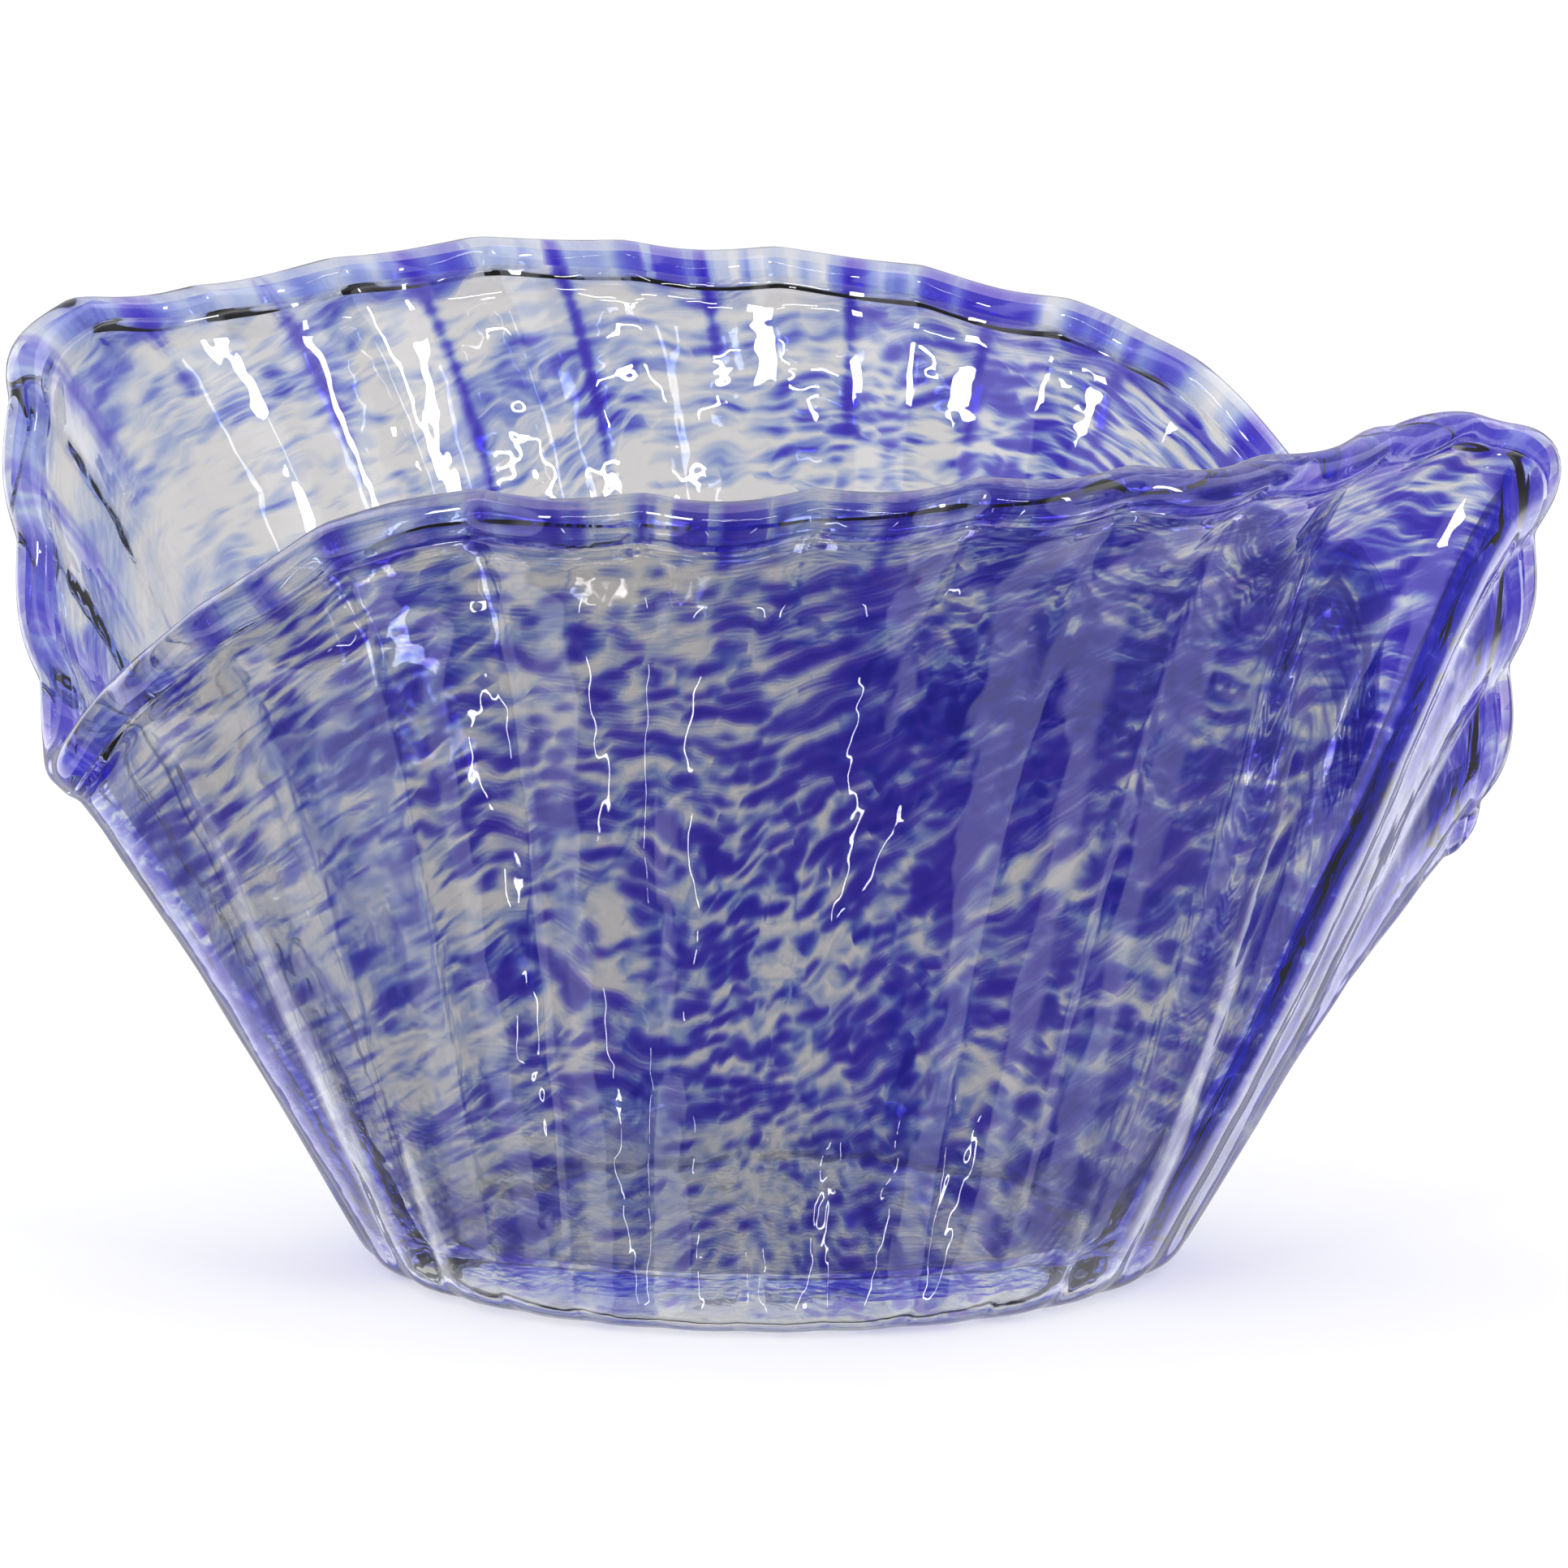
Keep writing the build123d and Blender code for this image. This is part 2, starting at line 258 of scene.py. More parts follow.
def wall_frame(turn, level):
    """The wall's points, their outward normals and their upward directions."""
    turn_step = math.degrees(SLOPE_STEP)
    round_wall = wall_point(turn + turn_step, level) - wall_point(turn - turn_step, level)
    up_wall = wall_point(turn, min(level + SLOPE_STEP, 1.0))
    up_wall = up_wall - wall_point(turn, max(level - SLOPE_STEP, 0.0))
    return wall_point(turn, level), unit(np.cross(round_wall, up_wall)), unit(up_wall)


def rib_phase(turn):
    """Half a turn for each rib, starting in a groove."""
    return np.radians((turn - RIB_PHASE) * RIB_COUNT / 2)


def rib_height(turn, level):
    """How far a rib lifts the glass off the plain wall, less than nothing in a groove."""
    wave = np.sin(rib_phase(turn))
    lobe = np.sqrt(wave**2 + RIB_SOFTNESS) - RIB_MEAN
    ruffle = max((level - RUFFLE_START) / (1 - RUFFLE_START), 0.0) ** 2
    return (RIB_RISE_FOOT + RIB_RISE_WALL * level + RIB_RISE_LIP * ruffle) * lobe


def hand_work(turn, level):
    """What the outside has on top of its even ribs: uneven ribs and soft waves."""
    inland = 4 * level * (1 - level)
    round_bowl = np.radians(turn)
    # two waves that beat against each other, so that some ribs stand out more than others
    uneven = 0.5 + 0.5 * np.sin(4 * round_bowl + 0.9) * np.sin(7 * round_bowl + 2.1)
    for at_turn, wide in SMOOTH_PARTS:
        away = turned_away(turn, at_turn)
        uneven -= FLATTENING * np.exp(-((away / wide) ** 4))
    offset = EXTRA_RELIEF * inland * uneven * rib_height(turn, level)
    for height, times, climb, start in WAVES:
        wave = np.sin(times * round_bowl + climb * level + start)
        offset += height * min(inland, 1.0) * wave
    return offset


def turned_away(turn, middle):
    """Degrees from the middle direction, at most half a turn to either side."""
    return (turn - middle + 180) % 360 - 180


def fold_depth(turn, level):
    """How far the whole wall is pushed in by the fold under the lip and by the creases."""
    in_front = np.exp(-((turned_away(turn, LIP_FOLD_AT) / LIP_FOLD_WIDTH) ** 4))
    line = LIP_FOLD_LEVEL + LIP_FOLD_DIP * np.sin(np.radians(LIP_FOLD_WAVES * turn))
    depth = LIP_FOLD_DEPTH * in_front * np.exp(-(((level - line) / LIP_FOLD_HEIGHT) ** 2))
    part = max(level - CREASE_FOOT, 0.0) / (1 - CREASE_FOOT)
    high = max(2 * level - 1, 0.0)
    for under_lip, halfway, width, crease_depth in CREASES:
        away = turned_away(turn, halfway + (under_lip - halfway) * high)
        depth += crease_depth * 4 * part * (1 - part) * np.exp(-((away / width) ** 2))
    return depth


def lip_swell(level):
    """How much each side of the wall thickens to run smoothly into the lip's bead."""
    near = np.clip((level - SWELL_START) / (1 - SWELL_START), 0, 1)
    return SWELL_HEIGHT * near**2 * (3 - 2 * near)


class Face:
    """One face of the glass: how deep it lies under the outside and where its floor is."""

    def __init__(self, depth, rib_share, floor, start, run):
        self.depth = depth
        self.rib_share = rib_share
        self.floor = floor
        self.start = start
        self.run = run

    def ring(self, level):
        point, normal, _ = wall_frame(TURNS, level)
        deeper = FOOT_EXTRA * (1 - level) ** 4 if self.depth > CASING_DEPTH + JOINT_GAP else 0.0
        offset = self.rib_share * rib_height(TURNS, level) - self.depth - deeper
        offset -= fold_depth(TURNS, level)
        if self.depth == 0:
            offset += hand_work(TURNS, level) + lip_swell(level)
        elif self.depth == INNER_DEPTH:
            offset -= lip_swell(level)
        return point + normal * offset[:, None]

    def heel_ring(self, part):
        """A ring of the rounding between the floor (part 0) and the wall (part 1)."""
        top = self.ring(self.start)
        slope = self.ring(self.start + SLOPE_STEP) - top
        corner = top + slope * ((self.floor - top[:, 2:]) / slope[:, 2:])
        radius = np.linalg.norm(corner[:, :2], axis=1, keepdims=True)
        edge = corner * (radius - self.run) / radius
        edge[:, 2] = self.floor
        return edge * (1 - part) ** 2 + corner * (2 * part * (1 - part)) + top * part**2

    def rings(self):
        """Rings from the floor's edge to the lip, each with its level on the wall."""
        found = []
        for step in range(HEEL_ROWS):
            part = step / HEEL_ROWS
            found.append((self.heel_ring(part), self.start * part**2))
        for step in range(WALL_ROWS + 1):
            level = self.start + (1 - self.start) * step / WALL_ROWS
            found.append((self.ring(level), level))
        return found


def bead_rings(radius, centre_depth, rolls):
    """Rings on the lip's bead. A roll is 0 at its crest and grows towards the outside."""
    point, normal, up = wall_frame(TURNS, 1.0)
    over_wall = math.sqrt(LIP_BEAD_RADIUS**2 - (INNER_DEPTH / 2) ** 2)
    offset = rib_height(TURNS, 1.0) - centre_depth
    centre = point + normal * offset[:, None] + up * over_wall
    found = []
    for roll in np.radians(rolls):
        found.append((centre + up * (radius * math.cos(roll)) + normal * (radius * math.sin(roll)), 1.0))
    return found


def floor_rings(rings):
    """Rings from near the middle of a flat floor out to its edge."""
    edge = rings[0][0]
    middle = np.array([0.0, 0.0, edge[0, 2]])
    found = []
    for step in range(1, FLOOR_ROWS):
        share = step / FLOOR_ROWS
        found.append((middle + (edge - middle) * share, share - 1))
    return found


# ---------------------------------------------------------------- where the colour lies
# direction of the foot, level, how wide each way, how much more (or less) colour
COLOUR_PATCHES = [
    (268, 0.58, 34, 0.30, 0.20),
    (300, 0.60, 26, 0.36, 0.25),
    (240, 0.80, 26, 0.18, 0.08),
    (192, 0.30, 11, 0.45, 0.34),
    (226, 0.38, 13, 0.30, -0.14),
    (345, 0.40, 15, 0.50, 0.36),
    (320, 0.25, 9, 0.24, -0.06),
    (188, 0.04, 22, 0.12, 0.26),
    (350, 0.04, 24, 0.12, 0.26),
    (55, 0.75, 26, 0.30, 0.16),
    (108, 0.68, 34, 0.26, -0.08),
    (165, 0.62, 18, 0.36, -0.24),
    (0, 0.72, 24, 0.40, 0.24),
    (262, 0.95, 50, 0.07, -0.16),
    (333, 0.85, 12, 0.16, 0.26),
    (90, 0.30, 55, 0.22, -0.14),
]
# direction, how wide, how much less broken up by single grains
SOFT_PATCHES = [
    (112, 52, 0.62),
    (165, 22, 0.45),
]
LEAST_GRAINS = 0.2
COLOUR_EVERYWHERE = 0.40
COLOUR_ON_FLOOR = 0.35
FULL_COLOUR_LEVEL = 0.32  # level at which the floor's colour has become the wall's
COLOUR_IN_LIP = 0.12      # on top of the rest, where the layers roll together
ROLLED_LEVEL = 0.94       # level at which that starts

# colour that ran down from the lip in lines, mostly at the back
RUN_AT = 115
RUN_WIDTH = 70
LONGEST_RUN = 0.42        # in levels
SHORTEST_RUN = 0.10
RUN_LINE_WIDTH = 0.13     # share of a rib's width
RUN_COLOUR = 0.5

FLOW_RADIUS = 0.10        # the gather's radius in m when the grains were picked up
FLOW_HEIGHT = 0.16
FLOW_SLANT = 0.035        # how far in m the streaks climb and fall on their way round
FLOW_SLANT_AT = 50.0      # degrees by which that slant is turned

# the cobalt's pattern: how often each part repeats in a metre round, across and up the gather
STREAK_SCALE = (100, 100, 430)
THREAD_SCALE = (160, 160, 1100)
BLOTCH_SCALE = (27, 27, 56)
GRAIN_SCALE = (175, 175, 370)
# how much each part of the pattern counts
STREAK_SHARE = 1.5
THREAD_SHARE = 0.6
BLOTCH_SHARE = 1.1
GRAIN_SHARE = 0.75
GRAIN_SIZE = 0.55         # radius of the largest grain, where grains stand 1 apart
GRAIN_LEVEL = 0.12        # evens out the colour that the gaps between grains take away
SWIRL_SCALE = 14.0        # the swirls that push the pattern about
SWIRL_REACH = 0.045

# waves in the polished surface
WAVE_SCALE = (60, 60, 24)
CRINKLE_SCALE = (190, 190, 120)
CRINKLE_SHARE = 0.35

# what the grains let through, from the thickest to none
DEEPEST = (0.045, 0.022, 0.62)
DEEP = (0.085, 0.068, 0.72)
MIDDLE = (0.25, 0.325, 0.86)
PALE = (0.59, 0.69, 0.95)
CLEAR = (0.97, 0.97, 0.985)
COLOUR_STOPS = [(0.23, CLEAR), (0.39, PALE), (0.51, MIDDLE), (0.64, DEEP), (0.90, DEEPEST)]

# what each face of the glass lets through, besides the grains: painted shade, which stands in for the
# dimmer greige backdrop seen through the clear glass (paler and cooler in the pad)
WALL_PAINTED_SHADE = (0.62, 0.605, 0.585)
LIP_PAINTED_SHADE = (0.70, 0.70, 0.72)
PAD_PAINTED_SHADE = (0.72, 0.77, 0.79)
FRIT_SHADOW = (0.75, 0.78, 0.92)
BEND_INDEX = 1.22         # less than real glass, in which these ribs would trap light and look dark
GLOSS_INDEX = 1.5         # the surface mirrors as real glass does
FRIT_SHARE = 0.6          # how much of the colour lies on the colour layer itself


def colour_density(turn, level):
    """How thickly the cobalt lies in a direction of the foot, at a level of the wall."""
    rising = np.clip(level / FULL_COLOUR_LEVEL, 0, 1)
    density = COLOUR_ON_FLOOR + (COLOUR_EVERYWHERE - COLOUR_ON_FLOOR) * rising**2 * (3 - 2 * rising)
    for at_turn, at_level, wide, high, amount in COLOUR_PATCHES:
        away = turned_away(turn, at_turn)
        density += amount * np.exp(-((away / wide) ** 2) - ((level - at_level) / high) ** 2)
    density += COLOUR_IN_LIP * np.clip((level - ROLLED_LEVEL) / (1 - ROLLED_LEVEL), 0, 1) ** 2
    return density


def grain_share(turn):
    """1 where the colour is broken up by grains, less where it was smeared."""
    share = np.ones_like(turn)
    for at_turn, wide, amount in SOFT_PATCHES:
        away = turned_away(turn, at_turn)
        share -= amount * np.exp(-((away / wide) ** 2))
    return np.maximum(share, LEAST_GRAINS)


def groove_colour(turn, level):
    """1 on a line down the middle of each rib, a groove on the inside, where colour ran from the lip."""
    off_line = np.abs(np.cos(rib_phase(turn)))
    at_back = np.exp(-((turned_away(turn, RUN_AT) / RUN_WIDTH) ** 2))
    uneven = 0.65 + 0.35 * np.sin(np.radians(turn * 7))
    reach = (LONGEST_RUN * at_back + SHORTEST_RUN) * uneven
    high = np.clip((level - 1 + reach) / reach, 0, 1)
    return np.exp(-((off_line / RUN_LINE_WIDTH) ** 2)) * np.sqrt(high)


def flow_place(turn, level):
    """The place on the round gather that a point of the wall came from, in m."""
    angle = np.radians(turn)
    lift = FLOW_SLANT * np.sin(angle + math.radians(FLOW_SLANT_AT))
    inward = np.clip(1 + level, 0.02, 1)
    return np.stack(
        [
            FLOW_RADIUS * inward * np.cos(angle),
            FLOW_RADIUS * inward * np.sin(angle),
            FLOW_HEIGHT * np.maximum(level, 0) - lift * np.clip(level * 3, 0, 1),
        ],
        -1,
    )


# ---------------------------------------------------------------- building meshes
def set_in_cad_box():
    """Scale and shift that put the shape in the CAD model's box, a hair smaller if need be."""
    low = np.min([ring.min(axis=0) for ring, _ in BEAD], axis=0)
    high = np.max([ring.max(axis=0) for ring, _ in BEAD], axis=0)
    low[2] = 0.0
    box = np.array([list(CAD_BOX[0]), list(CAD_BOX[1])])
    scale = np.minimum((box[1] - box[0]) / (high - low), MM)
    shift = (box[0] + box[1]) / 2 - (low + high) / 2 * scale
    shift[2] = box[0][2]
    return scale, shift


class Glass:
    """Collects strips of rings into one closed mesh, with a material for each strip."""

    def __init__(self, name, slot, nodes, materials):
        self.name = name
        self.slot = slot
        self.nodes = nodes
        self.materials = materials
        self.points = []
        self.faces = []
        self.face_materials = []
        self.turns = []
        self.levels = []
        self.rows = {}

    def row(self, ring, level):
        """The vertices of a ring, made once however many strips use it."""
        key = id(ring)
        if key not in self.rows:
            first = sum(len(points) for points in self.points)
            self.points.append(ring)
            self.turns.append(TURNS)
            self.levels.append(np.full(len(TURNS), level))
            self.rows[key] = np.arange(first, first + len(TURNS))
        return self.rows[key]

    def strip(self, rings, material):
        for (low, low_level), (high, high_level) in zip(rings[:-1], rings[1:]):
            a = self.row(low, low_level)
            b = self.row(high, high_level)
            quads = np.stack([a, np.roll(a, -1), np.roll(b, -1), b], -1)
            self.faces.extend(quads.tolist())
            self.face_materials.extend([material] * len(quads))

    def disc(self, rings, material, facing_up):
        """A floor: rings out to the edge, closed by a fan round its middle."""
        inner, level = rings[0]
        a = self.row(inner, level)
        centre = sum(len(points) for points in self.points)
        self.points.append(inner.mean(axis=0)[None, :])
        self.turns.append(np.zeros(1))
        self.levels.append(np.full(1, -1.0))
        fan = np.stack([a, np.roll(a, -1), np.full_like(a, centre)], -1)
        if not facing_up:
            fan = fan[:, ::-1]
        self.faces.extend(fan.tolist())
        self.face_materials.extend([material] * len(fan))

    def make(self):
        points = (np.concatenate(self.points) * SCALE + SHIFT).tolist()
        turns = np.concatenate(self.turns)
        levels = np.concatenate(self.levels)
        mesh = bpy.data.meshes.new(self.name)
        mesh.from_pydata(points, [], self.faces)
        for material in self.materials:
            mesh.materials.append(material)
        mesh.polygons.foreach_set("material_index", self.face_materials)
        mesh.polygons.foreach_set("use_smooth", [number == 0 for number in self.face_materials])
        flow = mesh.attributes.new("flow", "FLOAT_VECTOR", "POINT")
        flow.data.foreach_set("vector", flow_place(turns, levels).ravel())
        for name, values in [
            ("colour_density", colour_density(turns, levels)),
            ("grain_share", grain_share(turns)),
            ("groove", groove_colour(turns, levels)),
        ]:
            mesh.attributes.new(name, "FLOAT", "POINT").data.foreach_set("value", values)
        mesh.update()
        piece = bpy.data.objects.new(self.name, mesh)
        bpy.context.scene.collection.objects.link(piece)
        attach(piece, "root")
        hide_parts(*self.nodes)


# ---------------------------------------------------------------- materials
class Nodes:
    """A short way to write a material's nodes."""

    def __init__(self, name):
        self.material = bpy.data.materials.new(name)
        self.material.use_nodes = True
        self.tree = self.material.node_tree
        self.tree.nodes.clear()

    def add(self, kind, inputs=None, **settings):
        node = self.tree.nodes.new(kind)
        for key, value in settings.items():
            setattr(node, key, value)
        for key, value in (inputs or {}).items():
            self.feed(node.inputs[key], value)
        return node

    def feed(self, socket, value):
        if isinstance(value, bpy.types.NodeSocket):
            self.tree.links.new(value, socket)
        else:
            socket.default_value = value

    def maths(self, operation, first, second=0.0, third=0.0):
        inputs = {0: first, 1: second, 2: third}
        return self.add("ShaderNodeMath", inputs, operation=operation).outputs[0]

    def ramp(self, value, stops):
        node = self.add("ShaderNodeValToRGB", {"Fac": value})
        ramp = node.color_ramp
        while len(ramp.elements) < len(stops):
            ramp.elements.new(0.5)
        for element, (place, colour) in zip(ramp.elements, stops):
            element.position = place
            element.color = (*colour, 1.0)
        return node.outputs["Color"]

    def mix(self, share, first, second):
        return self.add("ShaderNodeMixShader", {0: share, 1: first, 2: second}).outputs[0]

    def finish(self, shader):
        self.add("ShaderNodeOutputMaterial", {"Surface": shader})
        return self.material


def attribute(nodes, name, output):
    node = nodes.add("ShaderNodeAttribute", attribute_name=name, attribute_type="GEOMETRY")
    return node.outputs[output]


def noise(nodes, place, scale, detail):
    """Soft noise, 0.5 on average, with a different scale along each axis."""
    stretched = nodes.add("ShaderNodeMapping", {"Vector": place, "Scale": scale}).outputs[0]
    inputs = {"Vector": stretched, "Scale": 1.0, "Detail": detail}
    return nodes.add("ShaderNodeTexNoise", inputs).outputs["Fac"]


def about_nothing(nodes, value):
    """Noise that averages 0.5, brought down to average 0."""
    return nodes.maths("SUBTRACT", value, 0.5)


def warped_flow(nodes):
    """The flow coordinates, pushed about as the soft glass was worked."""
    flow = attribute(nodes, "flow", "Vector")
    push = nodes.add(
        "ShaderNodeTexNoise", {"Vector": flow, "Scale": SWIRL_SCALE, "Detail": 4.0, "Roughness": 0.6}
    )
    centred = nodes.add(
        "ShaderNodeVectorMath",
        {0: push.outputs["Color"], 1: (0.5, 0.5, 0.5)},
        operation="SUBTRACT",
    )
    scaled = nodes.add(
        "ShaderNodeVectorMath", {0: centred.outputs[0], "Scale": SWIRL_REACH}, operation="SCALE"
    )
    added = nodes.add(
        "ShaderNodeVectorMath", {0: flow, 1: scaled.outputs[0]}, operation="ADD"
    )
    return added.outputs[0]


def colour_field(nodes):
    """How much cobalt lies at a point: near 0 where the glass is clear, near 1 in a full grain."""
    place = warped_flow(nodes)
    density = attribute(nodes, "colour_density", "Fac")
    groove = attribute(nodes, "groove", "Fac")
    grainy = attribute(nodes, "grain_share", "Fac")
    streaks = noise(nodes, place, STREAK_SCALE, 4.0)
    threads = noise(nodes, place, THREAD_SCALE, 2.0)
    blotches = noise(nodes, place, BLOTCH_SCALE, 3.0)
    flattened = nodes.add("ShaderNodeMapping", {"Vector": place, "Scale": GRAIN_SCALE})
    grains = nodes.add(
        "ShaderNodeTexVoronoi",
        {"Vector": flattened.outputs[0], "Scale": 1.0, "Randomness": 1.0},
        feature="F1",
    )
    each = nodes.add("ShaderNodeSeparateColor", {0: grains.outputs["Color"]}).outputs[0]
    size = nodes.maths("MULTIPLY", each, GRAIN_SIZE)
    edge = nodes.maths("SUBTRACT", size, grains.outputs["Distance"])
    edge = nodes.maths("MULTIPLY_ADD", edge, GRAIN_SHARE, GRAIN_LEVEL)
    broken = nodes.maths("MULTIPLY_ADD", about_nothing(nodes, streaks), STREAK_SHARE, edge)
    broken = nodes.maths("MULTIPLY_ADD", about_nothing(nodes, threads), THREAD_SHARE, broken)
    field = nodes.maths("MULTIPLY_ADD", broken, grainy, density)
    field = nodes.maths("MULTIPLY_ADD", about_nothing(nodes, blotches), BLOTCH_SHARE, field)
    return nodes.maths("MULTIPLY_ADD", groove, RUN_COLOUR, field)


def cobalt(nodes, share, tint=(1.0, 1.0, 1.0)):
    """The colour that the grains give to light, as a share of their full strength."""
    faded = []
    for place, colour in COLOUR_STOPS:
        faded.append((place, tuple(t * value**share for t, value in zip(tint, colour))))
    return nodes.ramp(colour_field(nodes), faded)


def frit_material():
    nodes = Nodes("cobalt_frit")
    glass = nodes.add(
        "ShaderNodeBsdfPrincipled",
        {
            "Base Color": cobalt(nodes, FRIT_SHARE),
            "Roughness": 0.0,
            "IOR": 1.0,
            "Transmission Weight": 1.0,
        },
    ).outputs[0]
    return nodes.finish(lets_light_through(nodes, glass, FRIT_SHADOW))


def glass_material(name, tint, roughness, wave_height):
    """Fire-polished glass whose surface has soft waves (m high), tinted by the grains behind it and by
    painted shade, the tint, which stands in for the dimmer backdrop seen through it.
    """
    nodes = Nodes(name)
    flow = attribute(nodes, "flow", "Vector")
    waves = noise(nodes, flow, WAVE_SCALE, 2.0)
    crinkles = noise(nodes, flow, CRINKLE_SCALE, 1.0)
    height = nodes.maths("MULTIPLY_ADD", crinkles, CRINKLE_SHARE, waves)
    bump = nodes.add(
        "ShaderNodeBump", {"Height": height, "Strength": 0.5, "Distance": wave_height}
    ).outputs[0]
    # the base colour holds the grains and the tint, which is painted shade for the backdrop seen through
    # the glass
    glass = nodes.add(
        "ShaderNodeBsdfPrincipled",
        {
            "Base Color": cobalt(nodes, 1 - FRIT_SHARE, tint),
            "Roughness": roughness,
            "IOR": BEND_INDEX,
            "Transmission Weight": 1.0,
            "Coat Weight": 1.0,
            "Coat Roughness": 0.02,
            "Coat IOR": GLOSS_INDEX,
            "Coat Normal": bump,
            "Normal": bump,
        },
    ).outputs[0]
    return nodes.finish(lets_light_through(nodes, glass, tint))


def lets_light_through(nodes, glass, tint):
    """Glass whose shadow is only as dark as its tint, as light bends round through it."""
    root = tuple(math.sqrt(value) for value in tint)
    clear = nodes.add("ShaderNodeBsdfTransparent", {"Color": (*root, 1.0)}).outputs[0]
    shadow = nodes.add("ShaderNodeLightPath").outputs["Is Shadow Ray"]
    return nodes.mix(shadow, glass, clear)


def joint_material():
    """The melted joint between two layers, which can't be seen."""
    nodes = Nodes("melted_joint")
    clear = nodes.add("ShaderNodeBsdfTransparent", {"Color": (1, 1, 1, 1)}).outputs[0]
    return nodes.finish(clear)


# ---------------------------------------------------------------- the pieces
def layer_face(depth, rib_share, floor):
    """A face below the outside, with the rounding that they all have at the heel."""
    return Face(depth, rib_share, floor, INNER_WALL_START, INNER_HEEL_RUN)


OUTSIDE = Face(0.0, 1.0, 0.0, WALL_START, HEEL_RUN)
UNDER_COLOUR = layer_face(CASING_DEPTH, UNDER_COLOUR_RIBS, CASING_FLOOR)
OVER_COLOUR = layer_face(COLOUR_DEPTH, OVER_COLOUR_RIBS, COLOUR_FLOOR)
INSIDE = layer_face(INNER_DEPTH, INSIDE_RIBS, BOWL_FLOOR)

BEAD_ROLLS = np.linspace(BEAD_HALF_ROLL, -BEAD_HALF_ROLL, BEAD_ROWS + 1)
BEAD = bead_rings(LIP_BEAD_RADIUS, INNER_DEPTH / 2, BEAD_ROLLS)
SCALE, SHIFT = set_in_cad_box()


def backwards(rings):
    return list(reversed(rings))


def at_radius(ring, radius):
    """The ring drawn in or out to one radius, at its own height."""
    return ring * (radius / np.linalg.norm(ring[:, :2], axis=1))[:, None]


def make_casing(materials):
    gap = JOINT_GAP
    outside = OUTSIDE.rings()
    within = layer_face(CASING_DEPTH - gap, UNDER_COLOUR_RIBS, CASING_FLOOR - gap).rings()
    foot_edge = outside[0][0]
    pad_edge = at_radius(foot_edge, PAD_RADIUS)
    pad_top = pad_edge + np.array([0, 0, PAD_HEIGHT + gap])
    glass = Glass("outer_casing_glass", "clear_casing", ["outer_casing"], materials)
    glass.strip([(pad_edge, PAD_LEVEL)] + outside, 0)
    glass.strip([outside[-1], within[-1]], 1)
    glass.strip(backwards(within), 1)
    floor = floor_rings(within)
    glass.strip(backwards(floor + [within[0]]), 1)
    glass.disc(floor, 1, True)
    recess = floor_rings([(pad_top, PAD_LEVEL)])
    glass.strip(recess + [(pad_top, PAD_LEVEL), (pad_edge, PAD_LEVEL)], 1)
    glass.disc(recess, 1, False)
    glass.make()


def make_frit(material):
    under = UNDER_COLOUR.rings()
    over = OVER_COLOUR.rings()
    middle = (CASING_DEPTH + COLOUR_DEPTH) / 2
    rolls = np.linspace(COLOUR_BEAD_HALF_ROLL, -COLOUR_BEAD_HALF_ROLL, COLOUR_BEAD_ROWS + 1)
    tongue = bead_rings(COLOUR_BEAD_RADIUS, middle, rolls)
    glass = Glass("cobalt_frit_glass", "cobalt_frit", ["cobalt_frit_layer"], [material])
    glass.strip(under + tongue + backwards(over), 0)
    under_floor = floor_rings(under)
    glass.strip(under_floor + [under[0]], 0)
    glass.disc(under_floor, 0, False)
    over_floor = floor_rings(over)
    glass.strip(backwards(over_floor + [over[0]]), 0)
    glass.disc(over_floor, 0, True)
    glass.make()


def make_gather(materials):
    gap = JOINT_GAP
    within = layer_face(COLOUR_DEPTH + gap, OVER_COLOUR_RIBS, COLOUR_FLOOR + gap).rings()
    inside = INSIDE.rings()
    glass = Glass("inner_gather_glass", "clear_gather", ["inner_gather"], materials)
    glass.strip(backwards(inside), 0)
    inside_floor = floor_rings(inside)
    glass.strip(backwards(inside_floor + [inside[0]]), 0)
    glass.disc(inside_floor, 0, True)
    glass.strip(within + [inside[-1]], 1)
    under_floor = floor_rings(within)
    glass.strip(under_floor + [within[0]], 1)
    glass.disc(under_floor, 1, False)
    glass.make()


def make_lip(materials):
    glass = Glass("rolled_lip_glass", "lip_glass", ["rim_lip"], materials)
    outside_top = (OUTSIDE.ring(1.0), 1.0)
    inside_top = (INSIDE.ring(1.0), 1.0)
    glass.strip([outside_top] + BEAD + [inside_top], 0)
    glass.strip([inside_top, outside_top], 1)
    glass.make()


def make_pad(materials):
    low = at_radius(OUTSIDE.rings()[0][0], PAD_RADIUS - JOINT_GAP)
    high = low + np.array([0, 0, PAD_HEIGHT])
    glass = Glass("base_pad_glass", "base_glass", ["base_pad"], materials)
    low_rings = floor_rings([(low, PAD_LEVEL)])
    high_rings = floor_rings([(high, PAD_LEVEL)])
    glass.disc(low_rings, 0, False)
    glass.strip(low_rings + [(low, PAD_LEVEL)], 0)
    glass.strip([(low, PAD_LEVEL), (high, PAD_LEVEL)], 1)
    glass.strip(backwards(high_rings + [(high, PAD_LEVEL)]), 1)
    glass.disc(high_rings, 1, True)
    glass.make()


JOINT = joint_material()
# the wall, lip and pad tints are painted shade, standing in for the dimmer greige backdrop seen through
# the glass
make_casing([glass_material("casing_glass", WALL_PAINTED_SHADE, 0.02, 0.0012), JOINT])
make_frit(frit_material())
make_gather([glass_material("gather_glass", WALL_PAINTED_SHADE, 0.02, 0.0012), JOINT])
make_lip([glass_material("lip_glass", LIP_PAINTED_SHADE, 0.02, 0.0008), JOINT])
make_pad([glass_material("pad_glass", PAD_PAINTED_SHADE, 0.04, 0.0002), JOINT])


# ---------------------------------------------------------------- stage, lights and camera
TABLE_RADIUS = 1.6
SWEEP_RADIUS = 1.2
SWEEP_STEPS = 12
SWEEP_SIDES = 96
WALL_TOP = 4.0


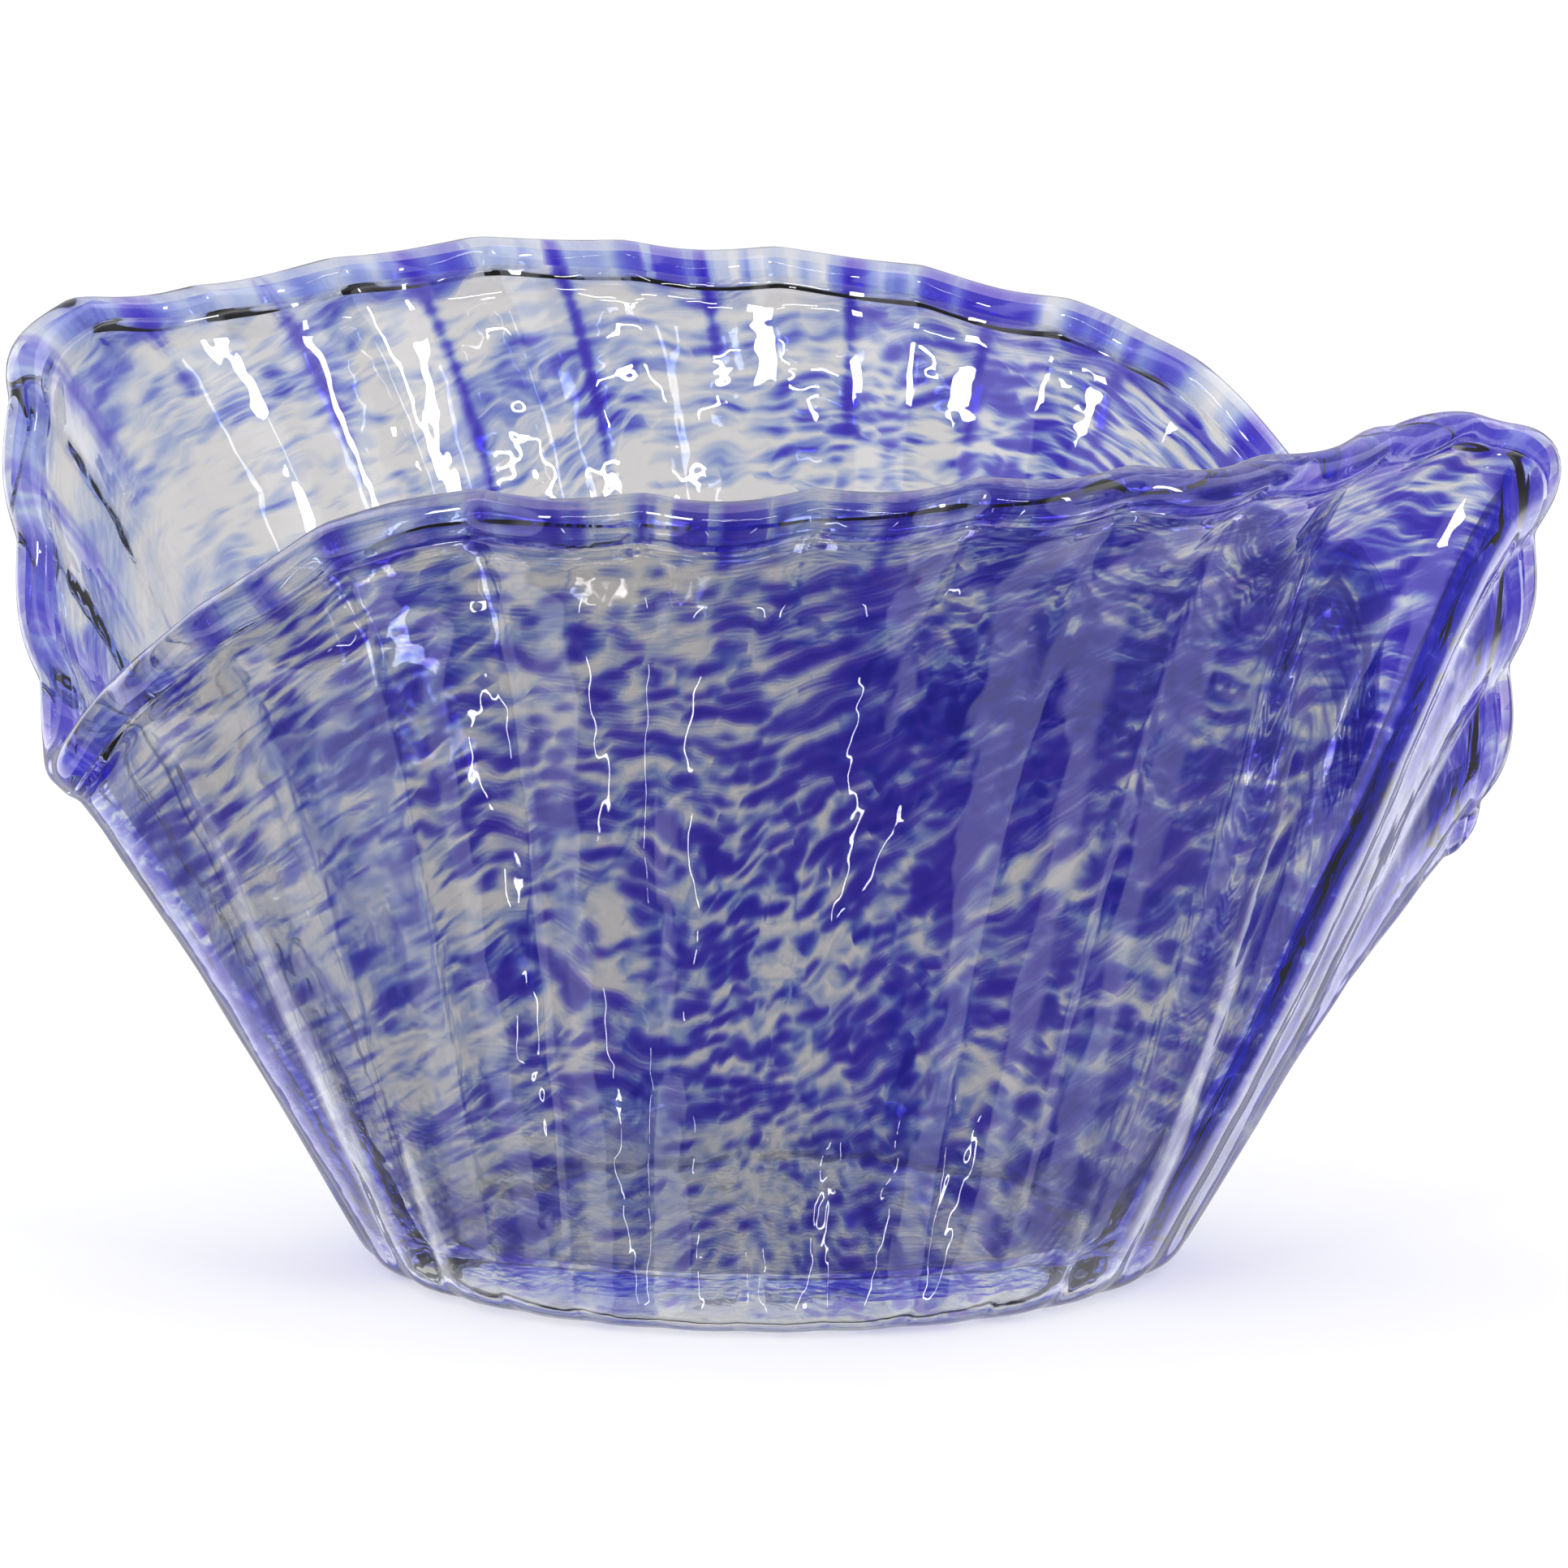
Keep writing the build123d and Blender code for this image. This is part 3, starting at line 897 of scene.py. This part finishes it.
def make_stage():
    """A round light table whose edge curves up into a pale wall all round."""
    profile = [(0.0, 0.0), (TABLE_RADIUS, 0.0)]
    for step in range(1, SWEEP_STEPS + 1):
        angle = math.radians(90 * step / SWEEP_STEPS)
        out = SWEEP_RADIUS * math.sin(angle)
        profile.append((TABLE_RADIUS + out, SWEEP_RADIUS - SWEEP_RADIUS * math.cos(angle)))
    profile.append((TABLE_RADIUS + SWEEP_RADIUS, WALL_TOP))
    points = []
    faces = []
    for number, (radius, z) in enumerate(profile):
        for side in range(SWEEP_SIDES):
            angle = math.radians(360 * side / SWEEP_SIDES)
            points.append((radius * math.cos(angle), radius * math.sin(angle), z))
            if number:
                low = (number - 1) * SWEEP_SIDES
                high = low + SWEEP_SIDES
                after = (side + 1) % SWEEP_SIDES
                faces.append((low + side, low + after, high + after, high + side))
    mesh = bpy.data.meshes.new("sweep")
    mesh.from_pydata(points, [], faces)
    mesh.polygons.foreach_set("use_smooth", [True] * len(faces))
    nodes = Nodes("sweep_paint")
    paint = nodes.add(
        "ShaderNodeBsdfPrincipled",
        {
            "Base Color": (0.64, 0.64, 0.64, 1),
            "Roughness": 0.9,
            "Emission Color": (1, 0.995, 0.94, 1),
            "Emission Strength": 0.29,
        },
    )
    mesh.materials.append(nodes.finish(paint.outputs[0]))
    sweep = bpy.data.objects.new("sweep", mesh)
    bpy.context.scene.collection.objects.link(sweep)
    sweep.visible_glossy = False
    sweep.visible_diffuse = False
    sweep.visible_shadow = False


def make_light(name, place, target, size, power):
    """A rectangular light: width and height in m, power in W."""
    data = bpy.data.lights.new(name, "AREA")
    data.shape = "RECTANGLE"
    data.size, data.size_y = size
    data.energy = power
    light = bpy.data.objects.new(name, data)
    light.location = place
    light.rotation_euler = (Vector(target) - Vector(place)).to_track_quat("-Z", "Y").to_euler()
    bpy.context.scene.collection.objects.link(light)


WORLD_COLOUR = (0.92, 0.92, 0.97, 1.0)
WORLD_DARKEST = 0.3
# part of the direction, where the light starts and is full, both ways or not, how strong
WORLD_LIGHT = [
    ("Z", 0.20, 0.75, False, 0.60),
    ("X", 0.46, 0.52, True, 1.5),
    ("X", 0.72, 0.84, True, -1.3),
    ("Y", 0.10, 0.80, False, 0.18),
]


def make_world():
    """Soft light from above, behind and both sides, and little from the front."""
    world = bpy.data.worlds.new("studio")
    world.use_nodes = True
    tree = world.node_tree
    background = tree.nodes["Background"]
    place = tree.nodes.new("ShaderNodeTexCoord")
    parts = tree.nodes.new("ShaderNodeSeparateXYZ")
    tree.links.new(place.outputs["Generated"], parts.inputs[0])
    light = None
    for part, start, end, sideways, strength in WORLD_LIGHT:
        value = parts.outputs[part]
        if sideways:
            flip = tree.nodes.new("ShaderNodeMath")
            flip.operation = "ABSOLUTE"
            tree.links.new(value, flip.inputs[0])
            value = flip.outputs[0]
        spread = tree.nodes.new("ShaderNodeMapRange")
        spread.interpolation_type = "SMOOTHSTEP"
        spread.inputs["From Min"].default_value = start
        spread.inputs["From Max"].default_value = end
        spread.inputs["To Max"].default_value = strength
        tree.links.new(value, spread.inputs["Value"])
        total = tree.nodes.new("ShaderNodeMath")
        total.operation = "ADD"
        total.inputs[1].default_value = WORLD_DARKEST
        if light is not None:
            tree.links.new(light, total.inputs[1])
        tree.links.new(spread.outputs["Result"], total.inputs[0])
        light = total.outputs[0]
    tree.links.new(light, background.inputs["Strength"])
    background.inputs["Color"].default_value = WORLD_COLOUR
    bpy.context.scene.world = world


def make_lights():
    make_world()
    middle = (0, 0, 0.1)
    make_light("key", (-1.1, -1.9, 1.25), middle, (0.32, 0.32), 9)
    make_light("fill", (1.5, -1.5, 1.1), middle, (0.16, 0.7), 8)
    for number in range(3):
        place = (0.5 - 0.45 * number, -2.0, 0.85 + 0.22 * number)
        make_light(f"tube_{number}", place, middle, (0.6, 0.025), 2.2)
    # seen only as glints in the front, which faces down a little
    for side in (-1, 1):
        make_light(f"low_strip_{side}", (0.5 * side, -1.5, -0.9), middle, (0.02, 0.7), 0.8)


CAMERA_PLACE = (0, -1.5, 0.32)    # both in m from the middle of the foot
CAMERA_AIM = (0, 0, 0.09)


def make_camera():
    foot = Vector(SHIFT.tolist())
    data = bpy.data.cameras.new("camera")
    data.sensor_width = 36.0
    data.lens = 178.0
    data.shift_x = 0.0067
    data.shift_y = 0.0118
    camera = bpy.data.objects.new("camera", data)
    camera.location = foot + Vector(CAMERA_PLACE)
    aim = foot + Vector(CAMERA_AIM) - camera.location
    camera.rotation_euler = aim.to_track_quat("-Z", "Y").to_euler()
    bpy.context.scene.collection.objects.link(camera)
    bpy.context.scene.camera = camera


make_stage()
make_lights()
make_camera()

scene = bpy.context.scene
scene.view_settings.view_transform = "Standard"
scene.cycles.max_bounces = 32
scene.cycles.transmission_bounces = 32
scene.cycles.transparent_max_bounces = 48
